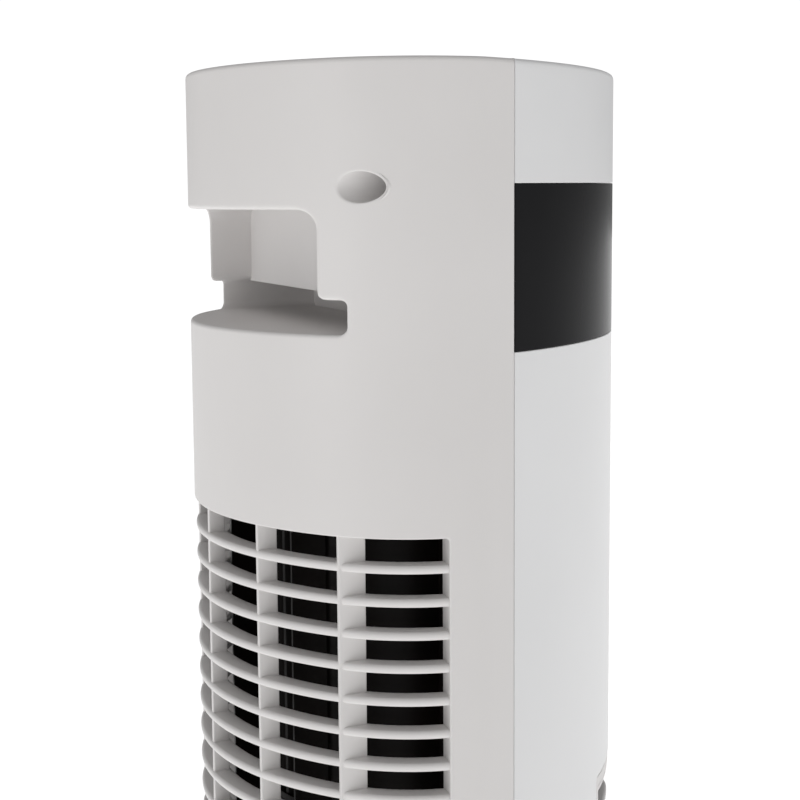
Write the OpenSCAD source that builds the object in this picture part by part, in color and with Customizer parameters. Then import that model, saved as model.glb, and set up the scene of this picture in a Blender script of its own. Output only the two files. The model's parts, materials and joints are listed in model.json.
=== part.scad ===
// Tower fan: a swivelling column on a round base, with a carry handle in its rear housing,
// an intake grille behind, a wrap-round display window and a cross-flow impeller inside.
// The origin is the centre of the base on the floor. The front faces -Y.

/* [Column] */
// Height of the whole fan above the floor
total_h = 900; // [750:5:1080]
// Width of the column
column_w = 180; // [150:1:216]
// Depth of the rear half, from the widest line to the rear apex
rear_depth = 70; // [58:1:84]
// Depth of the front half, from the widest line to the nose
front_depth = 98.6; // [90:1:112]
// Distance of the widest line behind the swivel axis
wide_y = 14.3; // [5:0.1:20]
// How much smaller the radius of the rear flanks is than the rear half's depth
side_step = 12; // [8:1:18]
// Radius of the rounded cheek in front of the widest line
cheek_r = 20; // [14:1:24]
// Radius of the gently curved front flanks
flank_r = 167; // [150:1:260]
// Radius of the nose
nose_r = 26.5; // [20:0.5:32]
// Wall of the two housings
wall = 2.6; // [2:0.1:3.4]
// Height of the column's underside above the floor
column_z = 47; // [44:1:60]
// Distance of the seam between the housings in front of the widest line
seam_step = 17.6; // [12:0.1:26]

/* [Handle] */
// Height of the lip's underside below the top
lip_drop = 50.3; // [44:0.1:58]
// Distance of the upper pocket's ends from the column's sides
pocket_inset = 25; // [22:1:32]
// Height of the upper pocket
pocket_h = 30.2; // [26:0.1:36]
// Depth of the upper pocket behind the rear apex
pocket_depth = 40; // [34:1:44]
// Corner radius of the upper pocket
pocket_r = 6.7; // [4:0.1:9]
// Distance of the lower slot's ends from the column's sides
slot_inset = 16.5; // [15:0.5:20]
// Height of the lower slot
slot_h = 11.7; // [10:0.1:15]
// Depth of the lower slot behind the rear apex
slot_depth = 70; // [60:1:74]
// Wall of the pocket
pocket_wall = 2.2; // [1.8:0.1:2.6]
// Thickness of the lip that the fingers hook behind
lip_t = 3.6; // [3:0.1:5]
// Height of the finger space behind the lip
finger_h = 15; // [8:1:18]

/* [Window] */
// Distance of the window's top edge below the top
window_drop = 41.6; // [34:0.1:50]
// Height of the window
window_h = 58; // [40:1:70]
// Thickness of the window
window_t = 2.2; // [1.8:0.1:2.6]

/* [Grilles] */
// Distance of the intake grille's top below the top of the fan
intake_drop = 161.4; // [140:0.1:190]
// Height of the intake grille's lower edge above the floor
intake_z = 205; // [195:1:230]
// Distance from slat to slat
slat_pitch = 11.6; // [9.5:0.1:15]
// Thickness of a slat
slat_t = 3; // [2.4:0.1:3.6]
// Depth of a slat
slat_d = 4; // [3.5:0.1:4.5]
// How far the slats lie below the skin
slat_sink = 0.6; // [0.2:0.1:1]
// Width of a grille rib
rib_w = 2.3; // [1.8:0.1:3]
// Depth of a grille rib
rib_d = 8; // [6:0.5:10]
// Distance of the air outlet's top below the top of the fan
outlet_drop = 272; // [265:1:330]
// Width of the air outlet as a share of the column's width
outlet_share = 0.49; // [0.4:0.01:0.52]

/* [Base] */
// Diameter of the base
base_d = 300; // [250:1:360]
// Height of the base's edge above its underside
base_edge = 14; // [13:1:18]
// Height of the base cover's crown above the floor
crown_z = 43.4; // [40:0.1:44]
// Diameter of the flat crown
crown_d = 134; // [124:1:144]
// Height of the feet
foot_h = 3; // [2:0.5:5]
// Diameter of a foot
foot_d = 18; // [12:1:24]
// Thickness of the steel weight
weight_t = 6; // [3:0.5:9]

/* [Swivel] */
// Diameter of the hollow post that the column turns on
post_d = 48; // [40:1:58]
// Wall of the post; its bore carries the mains lead
post_wall = 7; // [5:0.5:8]
// Teeth on the fixed gear
sun_teeth = 48; // [44:4:56]
// Teeth on the pinion
pinion_teeth = 16; // [12:4:20]
// Face width of the gears
gear_w = 6.5; // [5:0.5:8]
// Diameter of the swivel motor
swivel_motor_d = 48; // [42:1:52]
// Height of the swivel motor
swivel_motor_h = 17; // [14:1:22]

/* [Impeller] */
// Diameter of the impeller
impeller_d = 92; // [76:1:110]
// Distance of the impeller's axis behind the swivel axis
impeller_y = 12; // [8:1:16]
// Number of blades
blade_count = 28; // [20:2:34]
// Chord of a blade
blade_chord = 13; // [10:1:15]
// Number of bays between the discs
bay_count = 5; // [3:1:7]
// Thickness of a disc
disc_t = 2.5; // [2:0.1:3]
// Diameter of the motor shaft
shaft_d = 8; // [6:0.5:10]
// Diameter of the upper journal pin
pin_d = 6; // [5:0.5:8]
// Outer diameter of the motor
motor_d = 84; // [78:1:90]
// Diameter of the rotor
rotor_d = 36; // [30:1:42]
// Height of the stator
stator_h = 30; // [24:1:36]

/* [Buttons] */
// Diameter of a button
button_d = 12; // [9:0.5:14]
// Distance from button to button
button_pitch = 19; // [17:0.5:21]
// Travel of a button
button_travel = 1; // [0.6:0.1:1.2]
// How far the top panel lies below the rim
panel_sink = 2; // [1:0.1:3]
// Thickness of the top panel
panel_t = 2.5; // [2:0.1:3]

/* [Screws] */
// Diameter of the housing screws' access holes
access_d = 10.8; // [9.5:0.1:12]
// Distance of the housing screws from the column's sides
screw_inset = 13; // [12:0.5:16]
// Distance of the upper housing screws below the top
screw_drop = 42.7; // [38:0.5:46]
// Height of the lower housing screws above the floor
screw_z = 120; // [100:1:150]
// Diameter of the screws
screw_d = 4; // [3:0.5:5]

/* [Fits] */
// Radial clearance of a shaft in its bore
running = 0.05; // [0.02:0.01:0.09]
// Gap between pieces that are assembled by hand
gap = 0.3; // [0.25:0.05:0.5]

/* [Hidden] */
$fn = 64;

eps = 0.01;
half_w = column_w / 2;
rear_y = wide_y + rear_depth;
front_y = wide_y - front_depth;
seam_y = wide_y - seam_step;
side_r = rear_depth - side_step;
pocket_w = column_w - 2 * pocket_inset;
slot_w = column_w - 2 * slot_inset;
outlet_w = outlet_share * column_w;
screw_x = half_w - screw_inset;

// Outline: every arc is tangent to its neighbour, so each radius is worked out from the others.
side_x = half_w - side_r;
rear_r = (side_x * side_x + rear_depth * rear_depth - side_r * side_r) / (2 * (rear_depth - side_r));
rear_c = rear_y - rear_r;
cheek_x = half_w - cheek_r;
nose_c = front_y + nose_r;
link = norm([cheek_x, wide_y - nose_c]);
link_s = ((flank_r - cheek_r) ^ 2 - (flank_r - nose_r) ^ 2 + link ^ 2) / (2 * link);
link_n = sqrt((flank_r - cheek_r) ^ 2 - link_s ^ 2);
link_u = [-cheek_x, nose_c - wide_y] / link;
flank_c = [cheek_x, wide_y] + link_u * link_s + [link_u[1], -link_u[0]] * link_n;

// Heights, from the top down and from the floor up.
lip_z = total_h - lip_drop;
pocket_z = lip_z - pocket_h;
slot_z = pocket_z - slot_h;
window_z = total_h - window_drop - window_h;
intake_top = total_h - intake_drop;
plate_t = 3;
intake_y = wide_y + 9.3;
duct_z = intake_z - 19;
duct_top = intake_top + 2;
impeller_z = intake_z - 5;
impeller_top = duct_top - 8;
outlet_z = duct_z + plate_t + 1;
outlet_top = total_h - outlet_drop;
cap_t = 3;
cap_collar_h = 6.2;
gear_z = column_z + cap_collar_h + gap;
swivel_motor_z = gear_z + gear_w + 2;
motor_z = duct_z - 80;
stator_z = motor_z + 14;
mount_h = duct_z - (stator_z + stator_h + 14);
post_r = post_d / 2;
post_bore = post_d - 2 * post_wall;
gear_m = 2 * (post_r + 6) / sun_teeth;
gear_r = sun_teeth * gear_m / 2;
pinion_r = pinion_teeth * gear_m / 2;
pinion_y = gear_r + pinion_r + 0.1;
slat_drop = 0.7;
rib_sink = 1.4;
outlet_d = 4;
slat_count = floor((intake_top - intake_z) / slat_pitch);
rib_step = 38;
rib_end = half_w - 20;
rib_x = [-rib_end, -rib_step, 0, rib_step, rib_end];
panel_z = total_h - panel_sink - panel_t;
board_t = 1.6;
button_board_z = panel_z - 9.5;
foot_ring = base_d / 2 - 22;
screw_head_h = 2.6;
screw_floor_y = wide_y + 7.7;
screw_hole_x = [-screw_x, screw_x];
screw_hole_z = [screw_z, total_h - screw_drop];

white = [0.80, 0.80, 0.79];
grey = [0.82, 0.82, 0.82];
black = [0.05, 0.05, 0.05];
steel = [0.62, 0.63, 0.65];
copper = [0.72, 0.42, 0.22];
board_green = [0.10, 0.32, 0.20];

// ---- Shared shapes ----

// The column's outline, moved inward by t.
module outline(t) {
    intersection() {
        for (s = [-1, 1]) translate([s * side_x, wide_y]) circle(side_r - t);
        translate([-half_w, wide_y]) square([column_w, rear_depth]);
    }
    for (s = [-1, 1]) translate([s * cheek_x, wide_y]) circle(cheek_r - t);
    intersection() {
        translate([0, rear_c]) circle(rear_r - t);
        polygon([[0, rear_c], [4 * side_x, rear_c + 4 * (wide_y - rear_c)],
                 [0, rear_c + 2.2 * rear_r], [-4 * side_x, rear_c + 4 * (wide_y - rear_c)]]);
    }
    translate([0, nose_c]) circle(nose_r - t);
    flanks(t);
}

// The front flanks: two large arcs between the cheeks and the nose.
module flanks(t) {
    cheek_dir = ([cheek_x, wide_y] - flank_c) / (flank_r - cheek_r);
    nose_dir = ([0, nose_c] - flank_c) / (flank_r - nose_r);
    q1 = flank_c + cheek_dir * (flank_r + 12);
    q2 = flank_c + nose_dir * (flank_r + 12);
    intersection() {
        translate(flank_c) circle(flank_r - t, $fn = 180);
        translate([-flank_c[0], flank_c[1]]) circle(flank_r - t, $fn = 180);
        polygon([[0, wide_y + 1], [cheek_x, wide_y], q1, q2, [0, nose_c],
                 [-q2[0], q2[1]], [-q1[0], q1[1]], [-cheek_x, wide_y]]);
    }
}

// A ring of the outline between two depths.
module outline_ring(t0, t1) {
    difference() {
        outline(t0);
        outline(t1);
    }
}

// Everything on one side of a plane across the column, as a flat region.
module half_plane(y0, y1) {
    translate([-half_w - 10, y0]) square([column_w + 20, y1 - y0]);
}

// An upright plate that fills the column's outline.
module column_plate(z, h, t) {
    translate([0, 0, z]) linear_extrude(h) outline(t);
}

module tube(r_out, r_in, h) {
    difference() {
        cylinder(r = r_out, h = h);
        translate([0, 0, -1]) cylinder(r = r_in, h = h + 2);
    }
}

// ---- Rear housing ----

// Space of the handle: a pocket with rounded upper corners over a wider and deeper slot.
module handle_space(grow) {
    translate([0, rear_y + 20, 0]) rotate([90, 0, 0]) {
        linear_extrude(20 + pocket_depth + grow) pocket_face(grow);
        linear_extrude(20 + slot_depth + grow)
            translate([-slot_w / 2 - grow, slot_z - grow])
                square([slot_w + 2 * grow, slot_h + 2 * grow]);
    }
}

module pocket_face(grow) {
    r = pocket_r + grow;
    w = pocket_w / 2 + grow;
    translate([-w, pocket_z - grow]) square([2 * w, pocket_h + 2 * grow - r]);
    translate([-w + r, pocket_z]) square([2 * (w - r), pocket_h + grow]);
    for (s = [-1, 1]) translate([s * (w - r), lip_z + grow - r]) circle(r);
}

// Space behind the lip, where the fingers curl up.
module finger_space(grow) {
    w = pocket_w / 2 - pocket_r + grow;
    translate([0, 0, lip_z - 1]) linear_extrude(finger_h + 1 + grow) intersection() {
        outline(lip_t - grow);
        translate([-w, rear_y - pocket_depth - grow]) square([2 * w, pocket_depth + 2 * grow]);
    }
}

module rear_shell() {
    translate([0, 0, column_z]) linear_extrude(total_h - column_z) intersection() {
        outline_ring(0, wall);
        half_plane(seam_y, rear_y + 10);
    }
}

// Bosses behind the access holes, with a floor for the screw head.
module rear_bosses() {
    for (x = screw_hole_x, z = screw_hole_z)
        translate([x, rear_y, z]) rotate([90, 0, 0])
            cylinder(d = access_d + 4, h = rear_y - screw_floor_y + 3);
}

module rear_boss_bores() {
    for (x = screw_hole_x, z = screw_hole_z) translate([x, rear_y, z]) rotate([90, 0, 0]) {
        cylinder(d = access_d, h = rear_y - screw_floor_y);
        cylinder(d = screw_d + 2 * gap, h = rear_y - screw_floor_y + 4);
    }
}

// Slats and ribs across the intake.
module intake_grille() {
    for (i = [0:slat_count - 1])
        translate([0, 0, intake_top - (i + 1) * slat_pitch - slat_drop]) linear_extrude(slat_t)
            intersection() {
                outline_ring(slat_sink, slat_sink + slat_d, $fn = 40);
                half_plane(intake_y - 1, rear_y + 10);
            }
    for (x = rib_x)
        translate([0, 0, intake_z - 1]) linear_extrude(intake_top - intake_z + 2)
            intersection() {
                rib_band();
                translate([x - rib_w / 2, wide_y]) square([rib_w, rear_depth + 5]);
            }
}

// Band that holds the ribs: it starts just below the slats' faces and runs rib_d deep along Y.
module rib_band() {
    difference() {
        outline(rib_sink);
        translate([0, -rib_d - rib_sink]) outline(0);
    }
}

module intake_opening() {
    translate([-half_w, intake_y, intake_z]) cube([column_w, rear_depth + 5, intake_top - intake_z]);
}

module rear_housing() {
    color(white) {
        difference() {
            union() {
                rear_shell();
                intersection() {
                    column_plate(column_z, total_h - column_z, eps);
                    union() {
                        handle_space(pocket_wall);
                        finger_space(pocket_wall);
                        rear_bosses();
                    }
                }
            }
            handle_space(0);
            finger_space(0);
            rear_boss_bores();
            intake_opening();
        }
        intake_grille();
    }
}

// ---- Front housing and what it holds ----

module front_housing() {
    window_sink = window_t + gap / 2;
    color(grey) difference() {
        translate([0, 0, column_z]) union() {
            linear_extrude(total_h - column_z) intersection() {
                outline_ring(0, wall);
                half_plane(front_y - 10, seam_y);
            }
            translate([0, 0, window_z - column_z - 2]) linear_extrude(window_h + 4) intersection() {
                outline_ring(eps, window_sink + 2);
                half_plane(front_y - 10, seam_y);
            }
            front_bosses();
        }
        translate([0, 0, window_z]) linear_extrude(window_h) difference() {
            half_plane(front_y - 10, seam_y + 1);
            outline(window_sink);
        }
        for (x = screw_hole_x, z = screw_hole_z)
            translate([x, screw_floor_y, z]) rotate([90, 0, 0]) cylinder(d = screw_d, h = 26);
        translate([-outlet_w / 2, front_y - 5, outlet_z])
            cube([outlet_w, 60, outlet_top - outlet_z]);
        translate([-16, front_y - 5, window_z + window_h / 2 - 9]) cube([32, 30, 18]);
    }
}

module front_bosses() {
    for (x = screw_hole_x, z = screw_hole_z) intersection() {
        translate([x, screw_floor_y - 3 - gap, z - column_z]) rotate([90, 0, 0])
            cylinder(d = screw_d + 5, h = screw_floor_y - 3 - seam_y + 12);
        translate([0, 0, z - column_z - 10]) linear_extrude(20) outline(wall - eps);
    }
}

module display_window() {
    color(black) translate([0, 0, window_z + gap / 2]) linear_extrude(window_h - gap) intersection() {
        outline_ring(0, window_t);
        half_plane(front_y - 10, seam_y);
    }
}

module top_panel() {
    color(white) difference() {
        column_plate(panel_z, panel_t, wall + gap / 2);
        for (i = [0:4])
            translate([(i - 2) * button_pitch, button_row_y, panel_z - 1])
                cylinder(d = button_d + 2 * gap, h = panel_t + 2);
    }
}

module outlet_grille() {
    w = outlet_w - 2 * gap;
    h = outlet_top - outlet_z - 2 * gap;
    rows = floor((h - 8) / slat_pitch);
    color(white) translate([0, 0, outlet_z + gap]) {
        for (z = [0, h - 4]) translate([0, 0, z]) linear_extrude(4) outlet_band(0, outlet_d, w);
        for (i = [0:rows - 1])
            translate([0, 0, 4 + (i + 1) * slat_pitch - slat_t])
                linear_extrude(slat_t) outlet_band(slat_sink, outlet_d, w - 2);
        for (s = [-1, 1])
            linear_extrude(h) intersection() {
                outlet_band(0, outlet_d + 1, w);
                translate([s * (w / 2 - 2) - 2, front_y - 5]) square([4, 60]);
            }
        linear_extrude(h) intersection() {
            outlet_band(outlet_d / 2, outlet_d + 3, w);
            translate([-rib_w / 2, front_y - 5]) square([rib_w, 60]);
        }
    }
}

module outlet_band(t0, t1, w) {
    intersection() {
        outline_ring(t0, t1);
        translate([-w / 2, front_y - 5]) square([w, 55]);
    }
}

// Upright guide vanes behind the outlet, held by three cross rails.
module air_guides() {
    vane_y = front_y + 19;
    h = outlet_top - outlet_z - 20;
    color(black) translate([0, 0, outlet_z + 10]) {
        for (i = [-2:2])
            translate([i * 11 - 0.8, vane_y, 0]) cube([1.6, 16, h]);
        for (z = [0, (h - 3) / 2, h - 3])
            translate([-26, vane_y + 10, z]) cube([52, 5, 3]);
    }
}

// ---- Air duct ----

module duct_plate(z, hole_d) {
    color(black) difference() {
        column_plate(z, plate_t, wall + gap);
        translate([0, impeller_y, z - 1]) cylinder(d = hole_d, h = plate_t + 2);
        for (s = [-1, 1]) translate([s * loom_x, wide_y - 8, z - 1]) cylinder(d = 8, h = plate_t + 2);
    }
}

module duct_bottom_plate() { duct_plate(duct_z, shaft_d + 12); }

module duct_top_plate() { duct_plate(duct_top, rubber_d); }

scroll_r = impeller_d / 2 + 5;
guide_t = 2;
tongue_r = 3;
tongue_x = scroll_r - 7;
tongue_y = impeller_y - 26;
baffle_t = 2;
vane_t = 1.6;
vane_y = impeller_y + 33.5;
vane_d = rear_y - vane_y - 21;
liner_t = 1.5;
duct_h = duct_top - duct_z - plate_t;
duct_front_y = front_y + 34;

module duct_wall() {
    translate([0, 0, duct_z + plate_t]) linear_extrude(duct_h) union() children();
}

// Plate from x outward to the wall, and a liner along the wall as far back as the intake.
module baffle(side, x, y) {
    intersection() {
        outline(wall + gap);
        translate([side > 0 ? x : -half_w, y]) square([half_w - x, baffle_t]);
    }
    intersection() {
        outline_ring(wall + gap, wall + gap + liner_t);
        translate([side > 0 ? x : -half_w, y]) square([half_w - x, intake_y - 2 - y]);
    }
}

// Curved guide on one side of the impeller, which leads the air round to the outlet.
module scroll_guide() {
    start_y = impeller_y - 27;
    start_x = sqrt(scroll_r * scroll_r - 27 * 27);
    color(black) duct_wall() {
        intersection() {
            translate([0, impeller_y]) difference() {
                circle(scroll_r + guide_t);
                circle(scroll_r);
            }
            translate([-scroll_r - 5, impeller_y - 30]) square([scroll_r, 70]);
        }
        polygon([[-start_x - guide_t, start_y], [-start_x, start_y],
                 [-outlet_w / 2 + guide_t, duct_front_y], [-outlet_w / 2, duct_front_y]]);
        baffle(-1, scroll_r + guide_t / 4, impeller_y - baffle_t);
    }
}

// Rounded lip on the other side, which parts the outgoing air from the incoming air.
module cutoff_tongue() {
    color(black) duct_wall() {
        translate([tongue_x, tongue_y]) circle(tongue_r);
        polygon([[tongue_x - 2.7, tongue_y - 1], [tongue_x + 2.7, tongue_y - 1],
                 [outlet_w / 2, duct_front_y], [outlet_w / 2 - 2.5, duct_front_y]]);
        baffle(1, tongue_x + 1, tongue_y - baffle_t / 2);
    }
}

// Two upright vanes behind the intake's ribs; the one beside the scroll guide is shorter.
module intake_vanes() {
    color(black) duct_wall() {
        translate([rib_step - vane_t / 2, vane_y]) square([vane_t, vane_d]);
        translate([-rib_step - vane_t / 2, vane_y + 5]) square([vane_t, vane_d - 5]);
    }
}

// ---- Impeller ----

impeller_h = impeller_top - impeller_z;

module at_impeller(z) {
    translate([0, impeller_y, z]) children();
}

// A curved blade that leans forward against the radius.
module blade() {
    r = 9.5;
    translate([impeller_d / 2 - blade_chord / 2 - 0.8, 0]) intersection() {
        translate([0, -r + 1]) difference() {
            circle(r + 0.6, $fn = 40);
            circle(r - 0.6, $fn = 40);
        }
        translate([-blade_chord / 2, -3]) square([blade_chord, 6]);
    }
}

module impeller() {
    color(black) at_impeller(impeller_z) {
        for (i = [0:bay_count])
            translate([0, 0, i * (impeller_h - disc_t) / bay_count])
                tube(impeller_d / 2, impeller_d / 2 - blade_chord - 3, disc_t);
        tube(impeller_d / 2 - blade_chord - 2, shaft_d / 2 + 8, disc_t);
        translate([0, 0, impeller_h - disc_t]) tube(impeller_d / 2 - blade_chord - 2, pin_d / 2, disc_t);
        translate([0, 0, impeller_h - 12]) tube(pin_d / 2 + 5, pin_d / 2, 12);
        translate([0, 0, disc_t / 2]) linear_extrude(impeller_h - disc_t)
            for (k = [0:blade_count - 1])
                rotate(k * 360 / blade_count) blade();
    }
}

module impeller_hub() {
    color(steel) at_impeller(impeller_z - 7) tube(shaft_d / 2 + 8, shaft_d / 2, 14);
}

module impeller_pin() {
    color(steel) at_impeller(impeller_top - 12) cylinder(d = pin_d, h = 30);
}

// ---- Main motor ----

module motor_shaft() {
    color(steel) at_impeller(motor_z - 4) {
        difference() {
            cylinder(d = shaft_d, h = impeller_z + 7 - motor_z + 4);
            translate([shaft_d / 2 - 1, -5, impeller_z - motor_z - 3]) cube([2, 10, 20]);
        }
    }
}

module motor_rotor() {
    color(steel) at_impeller(stator_z) tube(rotor_d / 2, shaft_d / 2, stator_h);
}

// Stator laminations, with slots for the windings.
module motor_stator() {
    color(steel) at_impeller(stator_z) difference() {
        tube(motor_d / 2, rotor_d / 2 + 0.4, stator_h);
        for (k = [0:7])
            rotate(k * 45 + 22.5) translate([rotor_d / 2 + 5, -3, -1]) cube([11, 6, stator_h + 2]);
    }
}

// Coil ends above and below the stator.
module motor_windings() {
    color(copper) for (z = [stator_z - 8, stator_z + stator_h]) at_impeller(z)
        tube(motor_d / 2 - 6, rotor_d / 2 + 4, 8);
}

// A motor end bracket: a dished disc with the shaft's bearing in its middle.
module motor_bracket() {
    tube(motor_d / 2, shaft_d / 2 + running, 3);
    tube(shaft_d / 2 + 5, shaft_d / 2 + running, 8);
    tube(motor_d / 2, motor_d / 2 - 3, 14);
}

module motor_upper_bracket() {
    color(steel) at_impeller(stator_z + stator_h + 14) mirror([0, 0, 1]) motor_bracket();
}

module motor_lower_bracket() {
    color(steel) at_impeller(motor_z) motor_bracket();
}

module motor_mounts() {
    color(black) for (k = [0:3])
        at_impeller(duct_z - mount_h) rotate(k * 90 + 45)
            translate([motor_d / 2 - 9, 0, 0]) cylinder(r = 6, h = mount_h);
}

// ---- Upper bearing ----

rubber_d = 28;
bush_d = 16;
bush_z = duct_top - 2;

module bearing_bush() {
    color("peru") at_impeller(bush_z + 1) tube(bush_d / 2, pin_d / 2 + running, 6);
}

module bearing_rubber() {
    color(black) at_impeller(bush_z) tube(rubber_d / 2, bush_d / 2, 8);
}

module bearing_holder() {
    color(steel) at_impeller(duct_top + plate_t) difference() {
        tube(rubber_d / 2 + 8, pin_d / 2 + 4, 5);
        translate([0, 0, -1]) cylinder(d = rubber_d, h = 4);
    }
}

// ---- Swivel drive ----

// Outline of a spur gear with straight-sided teeth, thinned for free running.
module gear_outline(teeth) {
    r = teeth * gear_m / 2;
    root = 1.5 * gear_m;
    tip = 0.8 * gear_m;
    foot_w = 0.84 * gear_m;
    mid_w = 0.576 * gear_m;
    tip_w = 0.304 * gear_m;
    circle(r - 1.2 * gear_m, $fn = 96);
    for (k = [0:teeth - 1])
        rotate(k * 360 / teeth)
            polygon([[r - root, -foot_w], [r, -mid_w], [r + tip, -tip_w],
                     [r + tip, tip_w], [r, mid_w], [r - root, foot_w]]);
}

module swivel_gear() {
    color("ivory") translate([0, 0, gear_z]) difference() {
        linear_extrude(gear_w) gear_outline(sun_teeth);
        translate([0, 0, -1]) cylinder(d = post_d, h = gear_w + 2);
    }
}

module at_pinion(z) {
    translate([0, pinion_y, z]) children();
}

module swivel_pinion() {
    color("ivory") at_pinion(gear_z) difference() {
        rotate(pinion_phase) linear_extrude(gear_w) gear_outline(pinion_teeth);
        translate([0, 0, -1]) cylinder(d = 6, h = gear_w + 2);
    }
}

pinion_phase = 180 / pinion_teeth + (270 % (360 / pinion_teeth));

module pinion_shaft() {
    color(steel) at_pinion(gear_z - 1) cylinder(d = 6, h = swivel_motor_z - gear_z + 6);
}

ear_x = swivel_motor_d / 2 + 7;

module swivel_motor() {
    color(steel) at_pinion(swivel_motor_z) difference() {
        union() {
            cylinder(d = swivel_motor_d, h = swivel_motor_h);
            translate([-ear_x - 5, -5, 0]) cube([2 * ear_x + 10, 10, 2]);
        }
        translate([0, 0, -1]) cylinder(r = 3 + running, h = 7);
        for (s = [-1, 1]) translate([s * ear_x, 0, -1]) cylinder(d = screw_d, h = 4);
    }
}

module swivel_motor_screws() {
    color(steel) for (s = [-1, 1]) at_pinion(0) translate([s * ear_x, 0, swivel_motor_z - 8]) {
        cylinder(d = screw_d, h = 10);
        translate([0, 0, 10]) cylinder(d = 7.5, h = screw_head_h);
    }
}

// Floor of the column: it turns on the post and carries the swivel motor on two pillars.
module bottom_cap() {
    color(white) difference() {
        union() {
            column_plate(column_z, cap_t, wall + gap / 2);
            translate([0, 0, column_z]) cylinder(d = post_d + 10, h = cap_collar_h);
            for (s = [-1, 1]) at_pinion(0) translate([s * ear_x, 0, column_z])
                cylinder(d = screw_d + 5, h = swivel_motor_z - column_z);
        }
        translate([0, 0, column_z - 1]) cylinder(r = post_r + running, h = cap_collar_h + 2);
        for (s = [-1, 1]) at_pinion(0) translate([s * ear_x, 0, swivel_motor_z - 8])
            cylinder(d = screw_d, h = 9);
    }
}

// ---- Electrics ----

loom_x = half_w - 26;
control_y = front_y + 34;

module control_board() {
    w = 0.4 * column_w;
    color(board_green) translate([-w / 2, control_y, column_z + 12]) cube([w, board_t, 54]);
}

// Relay, transformer and terminal block on the control board.
module board_parts() {
    color([0.2, 0.2, 0.22]) translate([0, control_y + board_t, column_z + 12]) {
        translate([-30, 0, 28]) cube([20, 15, 16]);
        translate([-4, 0, 26]) cube([16, 10, 20]);
        translate([18, 0, 30]) cube([14, 12, 14]);
    }
}

module run_capacitor() {
    color(grey) translate([32 - half_w, wide_y, column_z + cap_t]) cylinder(d = 24, h = 42);
}

module wiring_loom() {
    color(black) translate([loom_x, wide_y - 8, column_z + 60])
        cylinder(d = 5, h = slot_z - pocket_wall - column_z - 66);
}

button_row_y = wide_y + 10;

module button_board() {
    color(board_green) translate([-50, button_row_y - 12, button_board_z]) cube([100, 24, board_t]);
}

module button_switches() {
    color(black) for (i = [0:4])
        translate([(i - 2) * button_pitch - 3, button_row_y - 3, button_board_z + board_t])
            cube([6, 6, 4]);
}

module button(i) {
    stem_z = button_board_z + board_t + 4 + button_travel + 0.4;
    color(grey) translate([(i - 2) * button_pitch, button_row_y, 0]) {
        translate([0, 0, panel_z - 1]) cylinder(d = button_d, h = panel_t + 2);
        translate([0, 0, stem_z]) cylinder(d = 5, h = panel_z - stem_z);
        translate([0, 0, panel_z - 1.9]) cylinder(d = button_d + 2, h = 1);
    }
}

module power_button() { button(0); }

module speed_button() { button(1); }

module mode_button() { button(2); }

module timer_button() { button(3); }

module swing_button() { button(4); }

display_z = window_z + window_h / 2;

module indicator_board() {
    color(board_green) translate([-24, front_y + 22, display_z - 20]) cube([48, board_t, 40]);
}

module led_display() {
    color(black) translate([-14, front_y + 14, display_z - 7]) cube([28, 8, 14]);
}

module infrared_receiver() {
    color(black) translate([16, front_y + 17, display_z - 18]) cube([6, 5, 7]);
}

// Screws that draw the rear housing onto the front housing's bosses.
module housing_screws() {
    color(steel) for (x = screw_hole_x, z = screw_hole_z)
        translate([x, screw_floor_y + screw_head_h, z]) rotate([90, 0, 0]) {
            cylinder(d = 7.5, h = screw_head_h);
            cylinder(d = screw_d, h = screw_head_h + 22);
        }
}

// ---- Base ----

base_r = base_d / 2;
crown_r = crown_d / 2;
base_wall = 2.8;

// Profile of the domed cover: an upright edge, a swept shoulder and a flat crown.
module cover_profile(t) {
    edge_z = foot_h + base_edge;
    rise = crown_z - 3 - edge_z;
    run = base_r - crown_r;
    polygon([[0, foot_h], [base_r - t, foot_h], [base_r - t, edge_z - t], [base_r - 4 - t, edge_z + 2 - t],
             [crown_r + run * 0.62, edge_z + rise * 0.36 - t], [crown_r + run * 0.30, edge_z + rise * 0.66 - t],
             [crown_r + 4, crown_z - 3 - t], [crown_r, crown_z - t], [0, crown_z - t]]);
}

module base_cover() {
    color(white) difference() {
        rotate_extrude($fn = 96) cover_profile(0);
        rotate_extrude($fn = 96) difference() {
            cover_profile(base_wall);
            square([post_r + 5, 100]);
        }
        translate([0, 0, foot_h - 1]) cylinder(r = post_r + gap, h = 60);
        translate([0, base_r + 1, gland_z]) rotate([90, 0, 0]) {
            cylinder(d = gland_d, h = 12);
            cylinder(d = gland_d + 4, h = 1.2 + gland_flange_t);
        }
        translate([0, 0, foot_h - 1]) cylinder(d = post_flange_d, h = 7.5);
    }
}

module base_plate() {
    color([0.16, 0.16, 0.17]) difference() {
        translate([0, 0, foot_h]) cylinder(r = base_r - base_wall - gap, h = 2.5);
        translate([0, 0, foot_h - 1]) cylinder(d = post_bore, h = 5);
        for (k = [0:5]) rotate(k * 60 + 30) translate([base_screw_ring, 0, foot_h - 1])
            cylinder(d = screw_d, h = 5);
    }
}

post_flange_d = post_d + 32;
base_screw_ring = 90;

module base_weight() {
    color(steel) translate([0, 0, foot_h + 2.5]) difference() {
        tube(base_r - 28, post_flange_d / 2 + 4, weight_t);
        for (k = [0:5]) rotate(k * 60 + 30) translate([base_screw_ring, 0, -1])
            cylinder(d = screw_d, h = weight_t + 2);
    }
}

module base_feet() {
    color(black) for (k = [0:5])
        rotate(k * 60) translate([foot_ring, 0, 0]) cylinder(d = foot_d, h = foot_h);
}

module base_screws() {
    color(steel) for (k = [0:5]) rotate(k * 60 + 30) translate([base_screw_ring, 0, foot_h - 1.6]) {
        cylinder(d = 7.5, h = 1.6);
        cylinder(d = screw_d, h = 2 + weight_t);
    }
}

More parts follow.
